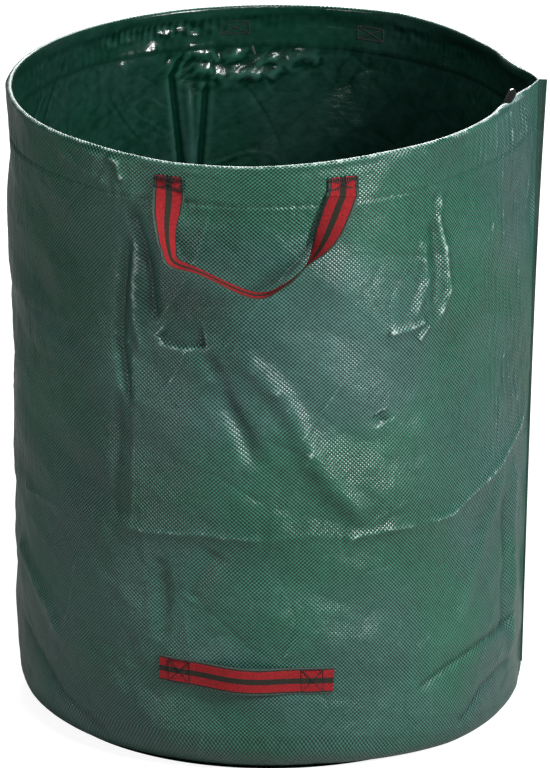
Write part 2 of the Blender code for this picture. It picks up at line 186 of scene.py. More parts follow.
# The laminated sheet's shape: one sheet rolled into a wall that widens a little from the base to the rim, and
# runs out to a point at the seam. It keeps the square creases of the packet that it was sold in, and
# crumples besides. Angles are in degrees round from the seam, heights in millimetres, as on the real bag.
BAG_HEIGHT = 0.80
BASE_RADIUS = 0.3165
BASE_CORNER = 0.037
BASE_LAP = 0.012
LAP_LEVEL = 0.0013
RIM_RADIUS = 0.333
RIM_OVAL = 0.019
RIM_SHIFT = -0.0095
SEAM_POINT = 0.027
SEAM_POINT_SPREAD = math.radians(28.5)
HEM_FOOT = 0.743
MEAN_RADIUS = 325
SHEET_THICKNESS = 0.0007
STITCH_CALM = 9
WHITENING_GLINT_SHADE_GAIN = 5

# The sharp creases, rounded crests and steps: how high they stand and how wide, in mm, then the path.
CREASES = (
    (2.8, 9.3, ((238.9, 319), (247.1, 318), (259.3, 323), (272.4, 319))),
    (0.8, 8.5, ((272.4, 319), (282.3, 323), (290.2, 315))),
    (3.2, 7.6, ((289.2, 315), (299.1, 320), (306.8, 318))),
    (3.5, 10.2, (
        (306.8, 318), (317.4, 316), (327.5, 338), (337.4, 351), (347.4, 368), (353.5, 392), (356, 402),
    )),
    (2.0, 8.5, ((202.4, 309), (213.3, 310), (221, 312))),
    (3.5, 6.8, ((299.1, 573), (303.9, 573), (308.8, 578))),
    (1.4, 10.2, ((245.1, 558), (244.1, 433), (243, 318))),
    (-3.8, 7.6, ((347.1, 146), (342.1, 131), (328.6, 131), (315.5, 115), (306.9, 98))),
    (-3.2, 8.5, ((345.1, 74), (337.3, 75), (328.6, 64), (319.3, 33))),
    (-3.8, 10.2, ((197.1, 123), (208.9, 96), (217.9, 66), (227.5, 44), (234.8, 26))),
    (2.3, 8.5, ((225.2, 782), (233.7, 767), (241, 758))),
)
CRESTS = (
    (2.3, 4.2, ((309.7, 572), (306.8, 555))),
    (4.9, 14.4, (
        (266.4, 566), (271.4, 536), (276.4, 506), (279.4, 471), (282.3, 431), (288.3, 376), (295.2, 330),
    )),
    (-3.2, 10.2, ((260.4, 559), (264.4, 520), (267.4, 470), (270.4, 420))),
    (-3.5, 9.3, ((297.1, 472), (298.1, 457))),
    (-4.3, 8.5, ((246.1, 736), (248.2, 692), (249.2, 658), (250.2, 589))),
    (-3.8, 7.6, ((245.1, 698), (243, 612), (242, 558), (244.1, 472))),
    (2.9, 7.6, ((247.2, 688), (246.1, 638), (246.1, 588), (247.1, 543))),
    (-1.8, 8.5, ((241, 498), (239.9, 402), (238.9, 322))),
    (-2.6, 11.0, ((249.2, 288), (250.2, 229), (249.1, 175))),
    (-2.3, 11.9, ((262.3, 303), (256.2, 234))),
    (-2.9, 11.9, ((260.3, 519), (268.4, 460), (271.4, 410))),
    (2.6, 6.0, ((313.5, 738), (312.6, 700), (314.5, 661), (315.4, 608), (311.6, 568))),
    (2.0, 6.8, ((307.8, 681), (308.8, 629), (304.9, 582))),
    (-2.2, 7.6, ((310.7, 703), (311.6, 643), (310.7, 593))),
    (4.2, 12.8, ((346.5, 342), (346.1, 261), (344.9, 151), (343.9, 75))),
    (-3.6, 9.3, ((340.8, 310), (341.5, 250), (339.8, 180), (340.5, 121))),
    (2.6, 13.0, ((338.3, 349), (334.8, 291), (329.4, 255), (324, 205), (320.2, 165))),
    (4.6, 11.9, ((194.9, 224), (207.6, 200), (215.6, 167), (218.9, 135))),
    (2.0, 5.1, ((241, 795), (243.1, 786), (244.1, 764))),
    (-3.2, 12.1, ((110, 741), (107.5, 735), (104.5, 730), (102.5, 735))),
    (-2.2, 8.1, ((108.5, 726), (106, 715), (103.5, 716))),
    (-3.0, 8.1, (
        (106.7, 688), (104.7, 700), (102.9, 705), (101.1, 697), (99.3, 700), (96.1, 708), (93.3, 702),
    )),
    (-2.5, 6.8, ((91.3, 732), (89.7, 717), (91.7, 700))),
    (-1.5, 8.1, ((88.5, 715), (86.7, 725), (84.5, 730), (80.7, 726))),
    (4.6, 5.0, ((110.5, 737), (112.6, 710), (112.1, 664), (111.3, 597), (110.9, 520))),
    (3.6, 5.0, ((104.9, 707), (105.9, 647), (106.8, 595), (107.3, 520))),
    (-2.4, 6.4, ((109.1, 700), (108.8, 640), (109.1, 570), (108.9, 500))),
    (-1.0, 12.1, ((125.5, 730), (120.5, 738), (115.5, 748))),
)
STEPS = (
    (-4.6, 7.6, ((250.2, 573), (252.2, 564), (256.3, 562), (261.4, 566))),
)
BOLD = 1.35
CREASE_SHARPNESS = 1.2
STEP_SHARPNESS = 2.2
CREASE_END = 0.16

# The packet's own lines, at these heights and angles: how high they are, how far they wander and on what
# pitch, how sharp they are and how wide, in mm.
PACKET_HEIGHTS = (68, 318, 568)
PACKET_ROUND = (0.9, 5, 140, 1.5, 10)
PACKET_ANGLES = (48, 114, 180, 246, 312)
PACKET_UP = (1.0, 4, 120, 2.0, 12)

# Folds all over: their height in mm, seed, number, shortest and longest pitch in mm, and if they are pointed.
SWELLS = (1.6, 11, 5, 160, 380, False)
BROAD_FOLDS = (2.3, 5, 5, 90, 240, True)
SMALL_FOLDS = (0.6, 6, 6, 34, 80, True)
FINE_FOLDS = (0.16, 8, 8, 16, 42, True)

# The waves that make the small and fine folds stronger in some places: the same numbers, without a height.
PATCHY = (3, 5, 190, 420, False)

# Ridges that fade in and out: seed, height and pitch in mm.
RIDGES = ((51, 1.3, 230), (52, -1.2, 170), (53, 0.9, 110), (54, -0.7, 70), (55, 0.5, 42))
RIDGE_SHARE = 0.8
RIDGE_WIDTH = 26

# Folds in some zones only: height in mm, how far they are squeezed round the bag and drawn out up it, the
# waves as above, then the zones. A zone is its strength, first and last degree and soft end, and that in mm.
PATCHES = (
    (0.30, 4.2, 0.42, (21, 7, 28, 60, False), (
        (1.0, 329, 357, 12, 330, 800, 120),
        (0.6, 176, 216, 18, 300, 800, 160),
    )),
    (0.50, 1.0, 0.10, (31, 6, 9, 21, False), ((1.0, 322, 352, 10, 748, 792, 18),)),
    (1.30, 1.0, 1.00, (61, 7, 9, 30, True), (
        (1.0, 88, 130, 10, 764, 798, 12),
        (0.5, 30, 88, 20, 764, 798, 12),
    )),
    (0.35, 2.2, 0.50, (62, 6, 30, 90, False), ((1.0, 30, 150, 20, 500, 740, 60),)),
    (2.60, 1.0, 1.00, (63, 6, 16, 52, True), (
        (1.0, 92, 113, 8, 694, 742, 18),
        (0.6, 80, 94, 6, 712, 742, 14),
    )),
)

# The rows that the hem's stitches pull in and let stand out: how far, at what height and how wide, in mm.
STITCH_PUCKERS = (0.30, 746, 13)
STITCH_VALLEY = (-0.8, 746.5, 2.4)
STITCH_SWELL = (0.3, 741.5, 3.6)

# Where a strap holds the sheet flat: how flat, then the zones as above.
HELD_FLAT = (
    (0.9, ((1.0, 245, 290, 12, 112, 160, 24),)),
    (0.8, ((1.0, 250, 294, 10, 752, 786, 14), (1.0, 64, 104, 10, 752, 786, 14))),
)
SEAM_CALM = 2.2
MOST_RELIEF = 9


def smooth_step(value):
    value = np.clip(value, 0, 1)
    return value * value * (3 - 2 * value)


def along_path(around, height, path):
    """The distance in mm from each point to a path, which side of it, and how far along it, from 0 to 1."""
    path = np.array([(math.radians(turn) * MEAN_RADIUS, level) for turn, level in path])
    lengths = np.linalg.norm(np.diff(path, axis=0), axis=1)
    total = lengths.sum()
    nearest = np.full(around.shape, 1e9)
    side = np.zeros(around.shape)
    share = np.zeros(around.shape)
    gone = 0.0
    for first, second, length in zip(path, path[1:], lengths):
        way = (second - first) / length
        run = np.clip((around - first[0]) * way[0] + (height - first[1]) * way[1], 0, length)
        right = around - first[0] - run * way[0]
        up = height - first[1] - run * way[1]
        gap = np.hypot(right, up)
        closer = gap < nearest
        nearest = np.where(closer, gap, nearest)
        side = np.where(closer, np.sign(way[0] * up - way[1] * right), side)
        share = np.where(closer, (gone + run) / total, share)
        gone += length
    return nearest, side, share


def waves(around, height, seed, number, shortest, longest, pointed):
    """Random straight folds across each other: smooth waves, or pointed ones like creased paper."""
    chance = np.random.default_rng(seed)
    total = np.zeros(around.shape)
    for _ in range(number):
        turn = chance.uniform(0, math.pi)
        pitch = chance.uniform(shortest, longest)
        phase = chance.uniform(0, 1)
        wander = np.sin(around / (pitch * 2.3) + 7 * phase) * np.sin(height / (pitch * 1.9) + 3 * phase)
        place = (around * math.cos(turn) + height * math.sin(turn)) / pitch + phase + 0.35 * wander
        if pointed:
            total += 4 * np.abs(place - np.floor(place) - 0.5) - 1
        else:
            total += np.sin(math.tau * place)
    return total / math.sqrt(number)


def between(value, low, high, soft):
    return smooth_step((value - low) / soft + 0.5) * smooth_step((high - value) / soft + 0.5)


def crease_shape(kind, gap, side, wide):
    """A sharp crease, a rounded crest or a step from one level to another, by the distance from its line."""
    if kind == "crease":
        return np.exp(-(np.sqrt(gap**2 + CREASE_SHARPNESS) - 1.1) / wide)
    if kind == "crest":
        return np.exp(-((gap / wide) ** 2))
    return 0.5 * (1 + np.tanh(side * gap / STEP_SHARPNESS)) * np.exp(-((gap / (wide * 3)) ** 2))


def crumple(angle, level):
    """How far the sheet stands out of its plain shape at an angle in radians and a level, in metres."""
    around = angle * MEAN_RADIUS
    height = level * 1000
    degrees = np.degrees(angle)

    def zoned(zones):
        total = 0.0
        for strength, first, last, soft, low, high, fade in zones:
            total = total + strength * between(degrees, first, last, soft) * between(height, low, high, fade)
        return total

    out = np.zeros(angle.shape)
    for kind, lines in (("crease", CREASES), ("crest", CRESTS), ("step", STEPS)):
        for stand, wide, path in lines:
            gap, side, share = along_path(around, height, path)
            fade = smooth_step(np.minimum(share, 1 - share) / CREASE_END + 0.25)
            out += BOLD * stand * fade * crease_shape(kind, gap, side, wide)
    patchy = 0.5 + 0.5 * waves(around, height, *PATCHY)
    stand, wander, pitch, sharpness, wide = PACKET_ROUND
    for packet_height in PACKET_HEIGHTS:
        line = packet_height + wander * np.sin(around / pitch + packet_height)
        out += stand * patchy * np.exp(-np.sqrt((height - line) ** 2 + sharpness) / wide)
    stand, wander, pitch, sharpness, wide = PACKET_UP
    for packet_angle in PACKET_ANGLES:
        line = math.radians(packet_angle) * MEAN_RADIUS + wander * np.sin(height / pitch + packet_angle)
        out += stand * (1.2 - patchy) * np.exp(-np.sqrt((around - line) ** 2 + sharpness) / wide)
    for (stand, *pattern), share in (
        (SWELLS, 1.0),
        (BROAD_FOLDS, 1.0),
        (SMALL_FOLDS, np.clip(1.3 * patchy, 0.3, 1.2)),
    ):
        out += stand * waves(around, height, *pattern) * share
    for seed, stand, pitch in RIDGES:
        line = np.abs(waves(around, height, seed, 5, pitch * 0.6, pitch * 1.5, False))
        fading = np.clip(waves(around, height, seed + 20, 4, pitch * 1.2, pitch * 2.5, False) - 0.1, 0, 1)
        out += RIDGE_SHARE * stand * np.exp(-line * pitch / RIDGE_WIDTH) * fading
    stand, *pattern = FINE_FOLDS
    out += stand * waves(around, height, *pattern) * np.clip(patchy, 0.2, 1.2)
    for stand, squeezed, drawn_out, pattern, zones in PATCHES:
        out += stand * waves(around * squeezed, height * drawn_out, *pattern) * zoned(zones)
    stand, middle, wide = STITCH_PUCKERS
    squeezed, drawn_out, pattern = PATCHES[1][1:4]
    puckers = stand * waves(around * squeezed, height * drawn_out, *pattern)
    out += puckers * np.exp(-np.abs(height - middle) / wide)
    for stand, middle, wide in (STITCH_VALLEY, STITCH_SWELL):
        out += stand * np.exp(-(((height - middle) / wide) ** 2))
    for strength, zones in HELD_FLAT:
        out *= 1 - strength * zoned(zones)
    out *= smooth_step(np.minimum(degrees, 360 - degrees) / SEAM_CALM)
    return np.clip(out, -MOST_RELIEF, MOST_RELIEF) * 0.001


def rim_radius(angle):
    from_seam = np.abs(np.remainder(angle + math.pi, math.tau) - math.pi)
    point = np.clip(1 - from_seam / SEAM_POINT_SPREAD, 0, None)
    return RIM_RADIUS - RIM_OVAL * np.cos(2 * angle) + SEAM_POINT * point**2


def on_wall(angle, height, inset, level=None):
    """Points inset from the plain wall. Their level differs from their height where the sheet curls."""
    radius = BASE_RADIUS + (rim_radius(angle) - BASE_RADIUS) * height / BAG_HEIGHT - inset
    across = RIM_SHIFT * height / BAG_HEIGHT
    level = height if level is None else level
    return np.stack([across + radius * np.cos(angle), radius * np.sin(angle), level + 0 * radius], axis=-1)


def ridge_whitening_glint_fold_shade(stand, around, height, stitched):
    """How pale the sheet is painted on its ridges, over 0.5, partly its film's own whitening and partly
    painted highlight, and how dark in its folds, under 0.5, which is painted shade.

    The hem's stitch line, at the stitched place along the cloth, is left without them.
    """
    bend = np.zeros(stand.shape)
    for axis, places in ((0, height.mean(axis=1)), (1, around)):
        bend += np.gradient(np.gradient(stand * 1000, places, axis=axis), places, axis=axis)
    unmarked = 1 - np.exp(-(((height.mean(axis=1) - stitched) / STITCH_CALM) ** 2))
    return 0.5 - 0.5 * np.clip(bend * WHITENING_GLINT_SHADE_GAIN, -1, 1) * unmarked[:, None]


def grid_piece(name, points, cloth, look, smooth=True, flip=False, whitening_glint_shade=None):
    """A surface from rows of points, with its place on the flat cloth in metres as its UV map."""
    rows, columns = points.shape[:2]
    corner = (np.arange(rows - 1)[:, None] * columns + np.arange(columns - 1)[None, :]).ravel()
    faces = np.stack([corner, corner + 1, corner + columns + 1, corner + columns], axis=1)
    if flip:
        faces = faces[:, ::-1]
    mesh = bpy.data.meshes.new(name)
    mesh.from_pydata(points.reshape(-1, 3).tolist(), [], faces.tolist())
    chart = mesh.uv_layers.new(name="cloth")
    chart.data.foreach_set("uv", cloth.reshape(-1, 2)[faces.ravel()].ravel())
    whitening_glint_shade = np.full((rows, columns), 0.5) if whitening_glint_shade is None else whitening_glint_shade
    # The second UV map carries the painted ridge glints and fold shade, with the film's whitening.
    whitening_glint_shade_layer = mesh.uv_layers.new(name="wear")
    whitening_glint_shade_layer.data.foreach_set("uv", np.repeat(whitening_glint_shade.ravel()[faces.ravel()], 2))
    mesh.materials.append(look)
    if smooth:
        mesh.shade_smooth()
    made = bpy.data.objects.new(name, mesh)
    scene.collection.objects.link(made)
    return made


# The laminated sheet's finish: woven plastic tapes 2.5 mm wide under a thin glossy film, dark green, with the
# weave showing as a fine checkered relief outside, and a smoother film on the inside. Outside, the weave's
# check is also painted into the colour, pale tops as painted glints and dark gaps as painted shade. The
# inside film is painted much darker, as shade for the inside of the bag.
TAPE = 0.00254
FILM_RIB = 0.0072
SHEET_PALE = (0.03, 0.15, 0.098, 1.0)
SHEET_GREY = (0.056, 0.148, 0.13, 1.0)
SHEET_DEEP = (0.001, 0.014, 0.008, 1.0)
# Pale for the film's whitening and for the painted glints and rim highlight.
SHEET_WHITENED_GLINT = (0.42, 0.52, 0.49, 1.0)


def sheet_finish(name, relief, gloss, depth, middle, lining):
    made, shader, shop = finish_named(name, Roughness=gloss, IOR=1.5)
    bare = 1 - min(1.0, depth)
    cloth = shop.node("ShaderNodeUVMap", {"uv_map": "cloth"})
    split = shop.node("ShaderNodeSeparateXYZ", {}, {"Vector": cloth})
    across = split
    up = Tone(shop, split.socket.node.outputs[1])
    broad = shop.noise(cloth, 7.0, 3.0)
    lean = (shop.noise(cloth, 9.0, 1.0) - 0.5) * 0.5
    rising = shop.worked("COSINE", (across - up) * (math.pi / TAPE)) * (lean + 0.5)
    falling = shop.worked("COSINE", (across + up) * (math.pi / TAPE)) * (0.5 - lean)
    check = rising - falling
    hue = shop.noise(cloth, 4.3, 2.0, Distortion=0.6)
    lines = shop.worked("SINE", up * (math.tau / FILM_RIB) + broad * 5.0)
    fine = shop.noise(cloth, 90.0, 4.0)
    rubbed = shop.noise(cloth, 420.0, 2.0)
    whitening_glint_shade_map = shop.node("ShaderNodeUVMap", {"uv_map": "wear"})
    wear = (shop.node("ShaderNodeSeparateXYZ", {}, {"Vector": whitening_glint_shade_map}) - 0.5) * 2.0
    mottle = (broad - 0.5) * (0.55 - 0.40 * bare) + (fine - 0.5) * (0.30 - 0.15 * bare)
    # The colour's share: the weave's check as painted glints and gap shade, random mottling, the painted
    # ridge glints and fold shade, and the middle tone, whose low value on the inside film is painted shade.
    share = check * (0.5 * depth) + mottle + wear * 0.28 + middle
    green = shop.tint(share, SHEET_DEEP, SHEET_PALE)
    grey = shop.tint(share, SHEET_DEEP, SHEET_GREY)
    mixed = shop.tint((hue - 0.5) * 4.0 + (0.35 + 0.45 * bare), green, grey)
    # Pale flecks on ridges and on the rim's fold: partly the film's whitening, partly painted glints and the
    # painted rim highlight; none on the inside film.
    flecks = (wear - 0.55) * 1.5 + (fine - 0.56) * 3.0 + check * 0.5
    whitening_and_glints = flecks * (wear > 0.30) * (1 - bare)
    shop.feed(shader.inputs["Base Color"], shop.tint(whitening_and_glints * 0.7, mixed, SHEET_WHITENED_GLINT))
    shop.feed(shader.inputs["Roughness"], gloss + (broad - 0.5) * 0.24 + (fine - 0.5) * 0.16)
    height = check * relief + (fine - 0.5) * 0.0007 + (rubbed - 0.5) * 0.0002 + lines * lining
    shop.feed(shader.inputs["Normal"], shop.relief(height))
    return made


outside_finish = sheet_finish("laminated_weave", 0.00030, 0.33, 1.5, 0.42, 0.0)
# The inside film's low middle tone is painted shade for the inside of the bag.
inside_film_and_shade = sheet_finish("laminated_film_and_shade", 0.0, 0.18, 0.0, 0.09, 0.00002)


# The wall: the rolled sheet from its lap on the base panel, round the curled foot and up to the hem's stitch
# line. At each end its edge turns out beside the other and makes the seam's fin. It has an outer and an inner
# face.
SEAM_GAP = 0.00025
FIN_FOOT = 0.0022
FIN_TOP = 0.0100
CORNER_ANGLES = (0, 30, 90, 180, 215, 250, 285, 320, 360)
CORNER_RADII = (0.028, 0.030, 0.037, 0.042, 0.050, 0.056, 0.056, 0.028, 0.028)
WALL_ROWS = 300
CURL_STEPS = 13
FOOT_FLAT = 0.004
FOOT_EASE = 0.03
TUCK = 0.004
TUCK_INSET = 0.0012
EDGE_TURN = 0.6 / MEAN_RADIUS
FAR_HALF = np.linspace(EDGE_TURN, math.pi, 420, endpoint=False)
NEAR_HALF = np.linspace(math.pi, math.tau - EDGE_TURN, 640)
RING = np.concatenate([FAR_HALF, NEAR_HALF])


def fin_width(level):
    return FIN_FOOT + (FIN_TOP - FIN_FOOT) * (level / BAG_HEIGHT) ** 4


def corner_radius(angle):
    """The foot curls in more roundly at the left and the front than beside the seam."""
    return np.interp(np.degrees(angle), CORNER_ANGLES, CORNER_RADII)


def wall_face(depth):
    """The wall's points, its flat cloth places and its painted ridge glints and fold shade, sunk by depth
    below the outer face.
    """
    corner = corner_radius(RING)
    curl = math.pi / 2 * BASE_CORNER
    upright = HEM_FOOT - LAP_LEVEL - BASE_CORNER
    foot = LAP_LEVEL + corner
    none = np.zeros(RING.shape)
    profile = [
        (corner + BASE_LAP, none + LAP_LEVEL, 0.0, 1.0, 0.0),
        (corner, none + LAP_LEVEL, 0.0, 1.0, BASE_LAP),
    ]
    for step in range(1, CURL_STEPS + 1):
        turn = math.pi / 2 * step / CURL_STEPS
        inset = corner * (1 - math.sin(turn))
        level = LAP_LEVEL + corner * (1 - math.cos(turn))
        profile.append((inset, level, math.sin(turn), -math.cos(turn), BASE_LAP + curl * step / CURL_STEPS))
    for share in np.linspace(0, 1, WALL_ROWS)[1:]:
        level = foot + (HEM_FOOT - foot) * share
        profile.append((none, level, 1.0, 0.0, BASE_LAP + curl + upright * share))
    tucked = (none + TUCK_INSET, none + HEM_FOOT + TUCK, 1.0, 0.0, BASE_LAP + curl + upright + TUCK)
    rows = []
    charts = []
    stands = []
    for inset, level, outwards, upwards, gone in profile + [tucked]:
        plain = on_wall(RING, np.where(level < foot, LAP_LEVEL, level), inset, level)
        stand = crumple(RING, level) * smooth_step((level - FOOT_FLAT) / FOOT_EASE) - depth
        stands.append(stand)
        if outwards == 0.0:
            plain[:, 2] += depth
        else:
            plain[:, 0] += stand * outwards * np.cos(RING)
            plain[:, 1] += stand * outwards * np.sin(RING)
            plain[:, 2] += stand * upwards
        rows.append(plain)
        charts.append(np.stack([RING * MEAN_RADIUS * 0.001, np.full(RING.shape, gone)], axis=-1))
    run = np.array([chart[:, 1] for chart in charts]) * 1000
    whitening_glint_shade = ridge_whitening_glint_fold_shade(np.array(stands), RING * MEAN_RADIUS, run, run[-1].mean())
    return np.array(rows), np.array(charts), whitening_glint_shade


# The wall's faces with their painted ridge glints and fold shade; the inside takes them reversed.
outer_points, outer_chart, whitening_glint_shade = wall_face(0.0)
wall_outside = grid_piece("wall_outside", outer_points, outer_chart, outside_finish, whitening_glint_shade=whitening_glint_shade)
inner_points, inner_chart, whitening_glint_shade = wall_face(SHEET_THICKNESS)
wall_inside = grid_piece("wall_inside", inner_points, inner_chart, inside_film_and_shade, flip=True, whitening_glint_shade=1 - whitening_glint_shade)


FIN_SHARES = (0.0, 0.12, 0.5, 1.0)
FIN_FILLET = 0.0008
FIN_WAVE = 0.0012


def fin_root(turn, level):
    """How far out from the middle of the bag the fin leaves the wall."""
    return on_wall(turn, level, 0.0)[0] + crumple(np.array([turn]), np.array([level]))[0]


def fin_bend(wave, level):
    """The slight wave along the fin's edge."""
    return wave * math.sin(level * 46) * math.sin(level * 17 + 1)


def fin_face(side, levels, plies, wave, risen=0.0):
    """One side of the seam's fin, from the wall out to its edge."""
    turn = EDGE_TURN if side > 0 else math.tau - EDGE_TURN
    rows = []
    charts = []
    for level in levels:
        root = fin_root(turn, level)
        lifted = level + risen * max(0.0, level - HEM_FOOT) / (BAG_HEIGHT - HEM_FOOT)
        row = []
        chart = []
        for share in FIN_SHARES:
            out = fin_width(level) * share
            aside = side * (SEAM_GAP + plies * SHEET_THICKNESS) + fin_bend(wave, level) * share
            row.append((root + out, aside + side * FIN_FILLET * (1 - share) ** 6, lifted))
            chart.append((turn * MEAN_RADIUS * 0.001 - side * out, level))
        rows.append(row)
        charts.append(chart)
    return np.array(rows), np.array(charts)


fin_levels = np.linspace(0.040, HEM_FOOT, 150)
# The fin's front face, toward the camera, takes the darker inside film as painted shade; the back face keeps
# the outside finish.
wall_fin_front = grid_piece("wall_fin_front", *fin_face(-1, fin_levels, 1, FIN_WAVE), inside_film_and_shade)
back_face = fin_face(1, fin_levels, 1, FIN_WAVE)
wall_fin_back = grid_piece("wall_fin_back", *back_face, outside_finish, flip=True)
for piece in (wall_outside, wall_inside, wall_fin_front, wall_fin_back):
    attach(piece, "bag")
    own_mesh(piece)
    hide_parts("side_wall")


# The hem: the sheet's top folded inwards over the hoop and sewn down at its foot. Near the seam it flattens,
# and an opening in the fold lets the hoop's front end out.
FOLD_RADIUS = 0.00619
FLAT_FOLD = 0.00115
SLIM_FOLD = 0.0038
HEM_PLY_INSET = 0.0023
HEM_FOOT_INSET = 0.0012
CAP_FROM_SEAM = 0.0715
CAP_LENGTH = 0.032
FLAT_SPAN = 0.012
SLIM_SPREAD = 0.05

# How much higher or lower than level the rim runs, in mm, by the angle in degrees.
RISE_ANGLES = (
    0, 8, 20, 36, 48, 62, 74, 85, 100, 131, 150, 175, 235, 244, 255, 271, 281, 290, 298, 335, 350, 360,
)
RISES = (6, 6, 4, 0, 1.5, 3, 0, -1.5, -2.5, -3, -2, 0, 0, -2, -5, -5, -3, -1, 1, 1, 3.5, 6)


def rim_rise(angle):
    return np.interp(np.degrees(angle), RISE_ANGLES, RISES) * 0.001


# The hem's rows: how many there are on the outer ply, round the fold, where it closes again and below that.
OUTER_PLY_ROWS = 19
FOLD_ROWS = 12
CLOSING_ROWS = 5
INNER_PLY_ROWS = 10
FOLD_END_DROP = 0.003
CLOSING_DROP = 0.018


def hem_rows(fold):
    """The folded sheet's outer face as inset and level, for each column's own fold radius."""
    centre = BAG_HEIGHT - fold
    rows = []
    for share in np.linspace(0, 1, OUTER_PLY_ROWS):
        rows.append((0 * fold, HEM_FOOT + (centre - HEM_FOOT) * share))
    for step in range(1, FOLD_ROWS + 1):
        turn = math.pi * step / FOLD_ROWS
        rows.append((fold - fold * math.cos(turn), centre + fold * math.sin(turn)))
    closing = centre - FOLD_END_DROP
    rows.append((2 * fold, closing))
    for share in np.linspace(0.2, 1, CLOSING_ROWS):
        ease = share * share * (3 - 2 * share)
        rows.append((2 * fold + (HEM_PLY_INSET - 2 * fold) * ease, closing - CLOSING_DROP * share))
    closed = closing - CLOSING_DROP
    for share in np.linspace(0, 1, INNER_PLY_ROWS)[1:]:
        inset = HEM_PLY_INSET - (HEM_PLY_INSET - HEM_FOOT_INSET) * share**8
        rows.append((inset + 0 * fold, closed * (1 - share) + HEM_FOOT * share))
    return rows


def fold_radius(angle):
    """Round and close on the hoop, wide enough at its two caps, and flat towards the seam."""
    from_seam = np.minimum(angle, math.tau - angle) * RIM_RADIUS
    closed = smooth_step((from_seam - FLAT_SPAN) / (CAP_FROM_SEAM - FLAT_SPAN))
    slim = smooth_step((from_seam - CAP_FROM_SEAM - CAP_LENGTH) / SLIM_SPREAD)
    return FLAT_FOLD + (FOLD_RADIUS - FLAT_FOLD) * closed + (SLIM_FOLD - FOLD_RADIUS) * slim


SHADED_FILM_FROM_ROW = 27
RIM_HIGHLIGHT_ROW = 22.5
RIM_HIGHLIGHT_SPREAD = 2.2
HEM_CLOTH_FROM = 0.77
OPENING_ROWS = (24, 42)
OUTER_CALM = (0.797, 0.006)
INNER_CALM = (0.790, 0.01)
RIM_HIGHLIGHT_WAVES = (71, 7, 4, 60, False)
hem_points = []
hem_chart = []
hem_stands = []
run = 0.0
before = None
for place, (inset, level) in enumerate(hem_rows(fold_radius(RING))):
    share = 0 * level
    if place <= OUTER_PLY_ROWS:
        share = smooth_step((OUTER_CALM[0] - level) / OUTER_CALM[1])
    elif place >= OUTER_PLY_ROWS + FOLD_ROWS:
        share = smooth_step((INNER_CALM[0] - level) / INNER_CALM[1])
    stand = crumple(RING, level) * share
    hem_stands.append(stand)
    plain = on_wall(RING, level, inset - stand)
    plain[:, 2] += rim_rise(RING) * (level - HEM_FOOT) / (BAG_HEIGHT - HEM_FOOT)
    if before is not None:
        run += float(np.linalg.norm(plain - before, axis=1).mean())
    before = plain
    hem_points.append(plain)
    up = np.full(RING.shape, HEM_CLOTH_FROM + run)
    hem_chart.append(np.stack([RING * MEAN_RADIUS * 0.001, up], axis=-1))
hem_points = np.array(hem_points)
hem_chart = np.array(hem_chart)
hem_run = hem_chart[:, :, 1] * 1000
# The hem's painted ridge glints and fold shade, with none at its foot's stitch line.
hem_whitening_glint_shade = ridge_whitening_glint_fold_shade(np.array(hem_stands), RING * MEAN_RADIUS, hem_run, hem_run[0].mean())
hem_foot_unmarked = 1 - np.exp(-(((hem_run.mean(axis=1) - hem_run[-1].mean()) / STITCH_CALM) ** 2))
hem_whitening_glint_shade = 0.5 + (hem_whitening_glint_shade - 0.5) * hem_foot_unmarked[:, None]
# A speckled painted highlight along the top of the fold stands in for the rim's bright edge.
rim_highlight = np.exp(-(((np.arange(len(hem_points)) - RIM_HIGHLIGHT_ROW) / RIM_HIGHLIGHT_SPREAD) ** 2))
rim_highlight_speckle = 0.8 + 0.5 * waves(RING * MEAN_RADIUS, 0 * RING, *RIM_HIGHLIGHT_WAVES)
hem_whitening_glint_shade = np.clip(hem_whitening_glint_shade + rim_highlight[:, None] * np.clip(rim_highlight_speckle, 0, 1) * 1.1, 0, 1)
hem = grid_piece("hem", hem_points, hem_chart, outside_finish, whitening_glint_shade=hem_whitening_glint_shade)
# The hem's inner ply, inside the bag, takes the darker inside film as painted shade.
hem.data.materials.append(inside_film_and_shade)
for face in hem.data.polygons:
    if face.index // (len(RING) - 1) >= SHADED_FILM_FROM_ROW:
        face.material_index = 1
opening_from = math.tau - (CAP_FROM_SEAM + CAP_LENGTH) / RIM_RADIUS
opening_to = math.tau - CAP_FROM_SEAM / RIM_RADIUS
opened = bmesh.new()
opened.from_mesh(hem.data)
opened.faces.ensure_lookup_table()
gone_faces = []
for face in opened.faces:
    row, column = divmod(face.index, len(RING) - 1)
    if opening_from < RING[column] < opening_to and OPENING_ROWS[0] <= row <= OPENING_ROWS[1]:
        gone_faces.append(face)
bmesh.ops.delete(opened, geom=gone_faces, context="FACES")
opened.to_mesh(hem.data)
opened.free()

rim_levels = np.linspace(HEM_FOOT, BAG_HEIGHT - 0.0004, 22)
seam_rise = float(rim_rise(0.0))
# Here too the front face takes the darker inside film as painted shade.
rim_fin_front = grid_piece("rim_fin_front", *fin_face(-1, rim_levels, 2, 0.0, seam_rise), inside_film_and_shade)
back_face = fin_face(1, rim_levels, 2, 0.0, seam_rise)
rim_fin_back = grid_piece("rim_fin_back", *back_face, outside_finish, flip=True)
for piece in (hem, rim_fin_front, rim_fin_back):
    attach(piece, "rim")
    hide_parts("rim_hem")


